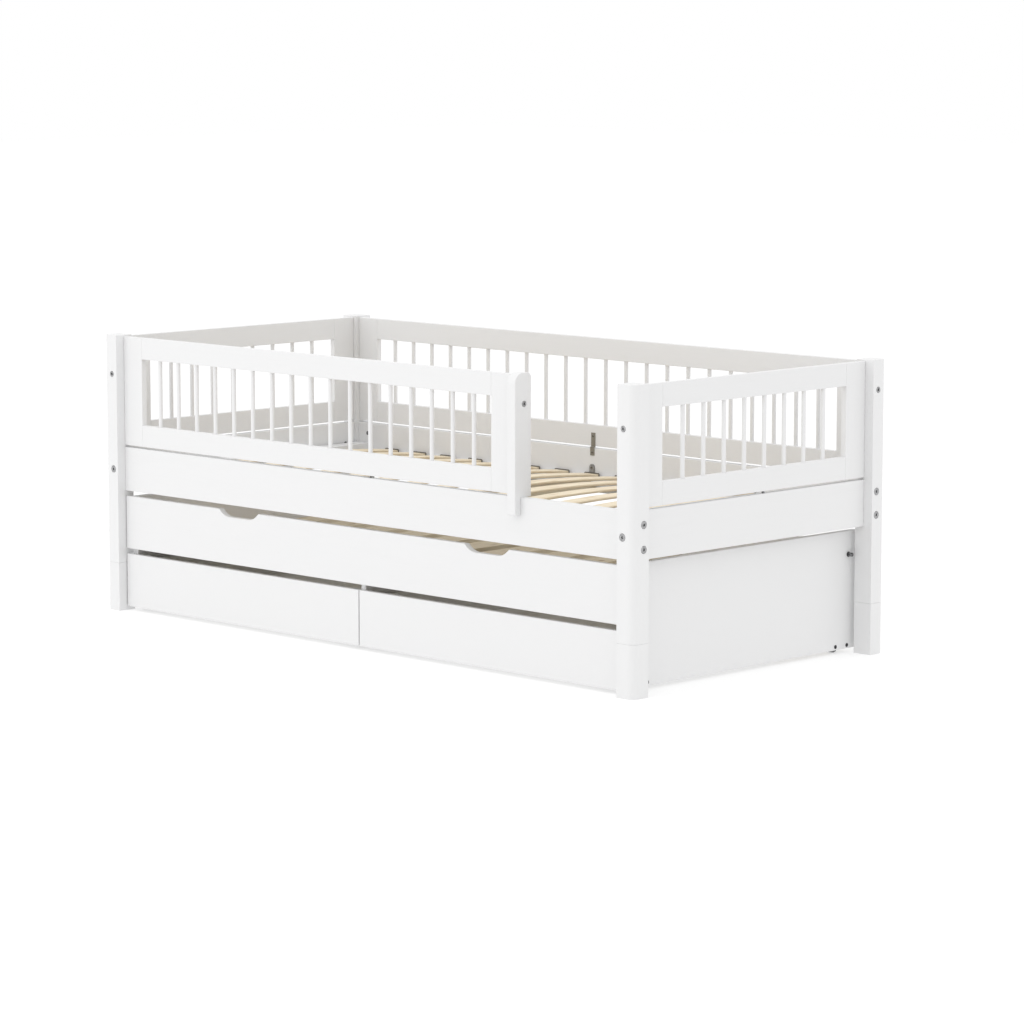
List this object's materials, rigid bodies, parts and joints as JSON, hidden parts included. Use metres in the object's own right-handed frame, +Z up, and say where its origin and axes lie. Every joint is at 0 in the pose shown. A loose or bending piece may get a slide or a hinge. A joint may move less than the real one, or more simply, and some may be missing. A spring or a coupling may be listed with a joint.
{
  "type": "single bed",
  "caption": "Children's single bed with guard rails, bowed slat base, pull-out guest bed on castors with finger scoops, and drawers under it.",
  "frame": {"origin": "on the floor, in the middle of the four legs", "axes": "+X along the bed, to the right as seen from the front; -Y is the front, where the pull-out bed and the drawers come out; +Z up"},
  "size_m": [2.1, 1.008, 0.807],
  "materials": {
    "white_paint": "satin white lacquer on smooth wood",
    "birch_slats": "clear-finished pale slats with grain",
    "pine": "bare pine with knots",
    "drawer_board": "white foil-faced board",
    "zinc_steel": "zinc plated",
    "dark_steel": "dark coated steel",
    "castor_nylon": "grey moulded nylon"
  },
  "bodies": {
    "bed_frame": {"beam_hangers": "zinc_steel", "bed_rail_front": "white_paint", "bed_rail_left": "white_paint", "bed_rail_rear": "white_paint", "bed_rail_right": "white_paint", "bed_slats": "birch_slats", "centre_beam": "pine", "frame_studs": "zinc_steel", "front_guard_rails": "white_paint", "front_guard_spindles": "white_paint", "front_guard_stiles": "white_paint", "guard_screws": "zinc_steel", "guard_support_post": "white_paint", "left_guard_rails": "white_paint", "left_guard_spindles": "white_paint", "left_guard_stiles": "white_paint", "leg_extensions": "white_paint", "plate_screws": "zinc_steel", "post_front_left": "white_paint", "post_front_right": "white_paint", "post_rear_left": "white_paint", "post_rear_right": "white_paint", "rail_barrel_nuts": "zinc_steel", "rail_bolts": "zinc_steel", "rear_guard_rails": "white_paint", "rear_guard_spindles": "white_paint", "rear_guard_stiles": "white_paint", "right_guard_rails": "white_paint", "right_guard_spindles": "white_paint", "right_guard_stiles": "white_paint", "slat_end_boards": "white_paint", "slat_ledges": "pine", "slat_stirrups": "dark_steel", "tie_plates": "dark_steel"},
    "trundle": {"trundle_back_board": "white_paint", "trundle_cleats": "pine", "trundle_divider": "white_paint", "trundle_front": "white_paint", "trundle_panel_left": "white_paint", "trundle_panel_right": "white_paint", "trundle_slats": "pine", "stop_pins": "zinc_steel", "drawer_runners": "zinc_steel", "castor_plates": "zinc_steel", "castor_axles": "zinc_steel", "castor_screws": "zinc_steel"},
    "left_drawer": {"left_drawer_bottom": "drawer_board", "left_drawer_front": "white_paint", "left_drawer_runners": "zinc_steel", "left_drawer_walls": "drawer_board"},
    "right_drawer": {"right_drawer_bottom": "drawer_board", "right_drawer_front": "white_paint", "right_drawer_runners": "zinc_steel", "right_drawer_walls": "drawer_board"},
    "castor_wheel_left_front": {"castor_wheel_left_front": "castor_nylon"},
    "castor_wheel_left_rear": {"castor_wheel_left_rear": "castor_nylon"},
    "castor_wheel_middle_front": {"castor_wheel_middle_front": "castor_nylon"},
    "castor_wheel_middle_rear": {"castor_wheel_middle_rear": "castor_nylon"},
    "castor_wheel_right_front": {"castor_wheel_right_front": "castor_nylon"},
    "castor_wheel_right_rear": {"castor_wheel_right_rear": "castor_nylon"}
  },
  "joints": [
    {"name": "trundle_slide", "type": "slide", "parent": "bed_frame", "child": "trundle", "axis": [0, -1, 0], "range_m": [0, 0.875]},
    {"name": "left_drawer_slide", "type": "slide", "parent": "trundle", "child": "left_drawer", "axis": [0, -1, 0], "range_m": [0, 0.45]},
    {"name": "right_drawer_slide", "type": "slide", "parent": "trundle", "child": "right_drawer", "axis": [0, -1, 0], "range_m": [0, 0.45]},
    {"name": "castor_wheel_left_front_spin", "type": "hinge", "parent": "trundle", "child": "castor_wheel_left_front", "pos_m": [-0.945, -0.395, 0.018], "axis": [1, 0, 0], "continuous": true},
    {"name": "castor_wheel_left_rear_spin", "type": "hinge", "parent": "trundle", "child": "castor_wheel_left_rear", "pos_m": [-0.945, 0.409, 0.018], "axis": [1, 0, 0], "continuous": true},
    {"name": "castor_wheel_middle_front_spin", "type": "hinge", "parent": "trundle", "child": "castor_wheel_middle_front", "pos_m": [-0.024, -0.395, 0.018], "axis": [1, 0, 0], "continuous": true},
    {"name": "castor_wheel_middle_rear_spin", "type": "hinge", "parent": "trundle", "child": "castor_wheel_middle_rear", "pos_m": [-0.024, 0.409, 0.018], "axis": [1, 0, 0], "continuous": true},
    {"name": "castor_wheel_right_front_spin", "type": "hinge", "parent": "trundle", "child": "castor_wheel_right_front", "pos_m": [0.945, -0.395, 0.018], "axis": [1, 0, 0], "continuous": true},
    {"name": "castor_wheel_right_rear_spin", "type": "hinge", "parent": "trundle", "child": "castor_wheel_right_rear", "pos_m": [0.945, 0.409, 0.018], "axis": [1, 0, 0], "continuous": true}
  ],
  "couplings": [
    {"joint": "castor_wheel_left_front_spin", "follows": "trundle_slide", "rad_per_m": 55.556},
    {"joint": "castor_wheel_left_rear_spin", "follows": "trundle_slide", "rad_per_m": 55.556},
    {"joint": "castor_wheel_middle_front_spin", "follows": "trundle_slide", "rad_per_m": 55.556},
    {"joint": "castor_wheel_middle_rear_spin", "follows": "trundle_slide", "rad_per_m": 55.556},
    {"joint": "castor_wheel_right_front_spin", "follows": "trundle_slide", "rad_per_m": 55.556},
    {"joint": "castor_wheel_right_rear_spin", "follows": "trundle_slide", "rad_per_m": 55.556}
  ]
}
